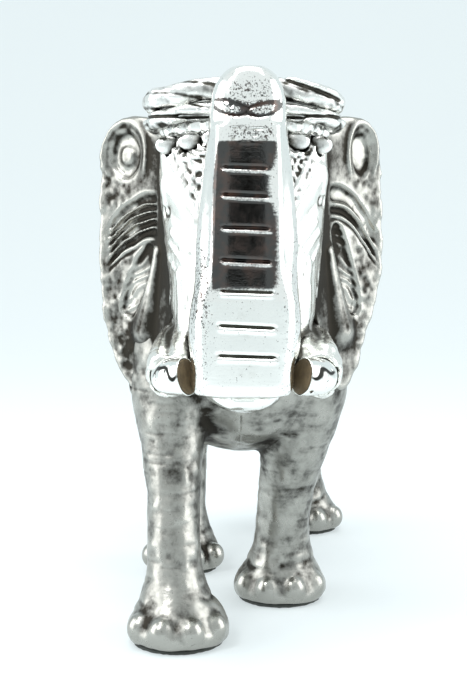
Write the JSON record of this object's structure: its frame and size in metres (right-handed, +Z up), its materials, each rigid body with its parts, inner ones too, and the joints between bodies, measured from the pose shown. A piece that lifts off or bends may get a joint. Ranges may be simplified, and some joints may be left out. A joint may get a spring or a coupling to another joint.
{
  "type": "elephant figure",
  "caption": "Walking elephant figure with raised trunk, rolled headdress and spread ears, cast in pieces with an antique silver finish, standing on felt pads.",
  "frame": {"origin": "centre of the figure's footprint, on the surface it stands on", "axes": "+Z up, the elephant looks along -Y, its left side is +X"},
  "size_m": [0.0846, 0.2012, 0.1596],
  "materials": {
    "silver_skin": "antique silver plating with dark patina in the hollows",
    "silver_cloth": "antique silver plating, ornament with dark patina",
    "silver_trunk": "polished silver with dark pits and scratches",
    "silver_tusk": "polished silver",
    "tusk_core": "bare brown core, copper coloured rim",
    "peg_steel": "plain",
    "plug": "plain, dull",
    "felt": "felt"
  },
  "bodies": {
    "root": {"belly_plug": "plug", "body_shell_left": "silver_skin", "body_shell_right": "silver_skin", "ear_left": "silver_skin", "ear_peg_left_lower": "peg_steel", "ear_peg_left_upper": "peg_steel", "ear_peg_right_lower": "peg_steel", "ear_peg_right_upper": "peg_steel", "ear_right": "silver_skin", "felt_pad_front_left": "felt", "felt_pad_front_right": "felt", "felt_pad_rear_left": "felt", "felt_pad_rear_right": "felt", "forehead_plate": "silver_cloth", "head": "silver_skin", "headdress_cap": "silver_cloth", "headdress_roll_lower": "silver_cloth", "headdress_roll_upper": "silver_cloth", "leg_front_left": "silver_skin", "leg_front_right": "silver_skin", "leg_peg_front_left": "peg_steel", "leg_peg_front_right": "peg_steel", "leg_peg_rear_left": "peg_steel", "leg_peg_rear_right": "peg_steel", "leg_rear_left": "silver_skin", "leg_rear_right": "silver_skin", "lower_lip": "silver_skin", "neck_peg": "peg_steel", "saddle_cloth": "silver_cloth", "tail": "silver_skin", "tail_peg": "peg_steel", "trunk": "silver_trunk", "trunk_peg": "peg_steel", "tusk_core_left": "tusk_core", "tusk_core_right": "tusk_core", "tusk_left": "silver_tusk", "tusk_right": "silver_tusk"}
  },
  "joints": []
}
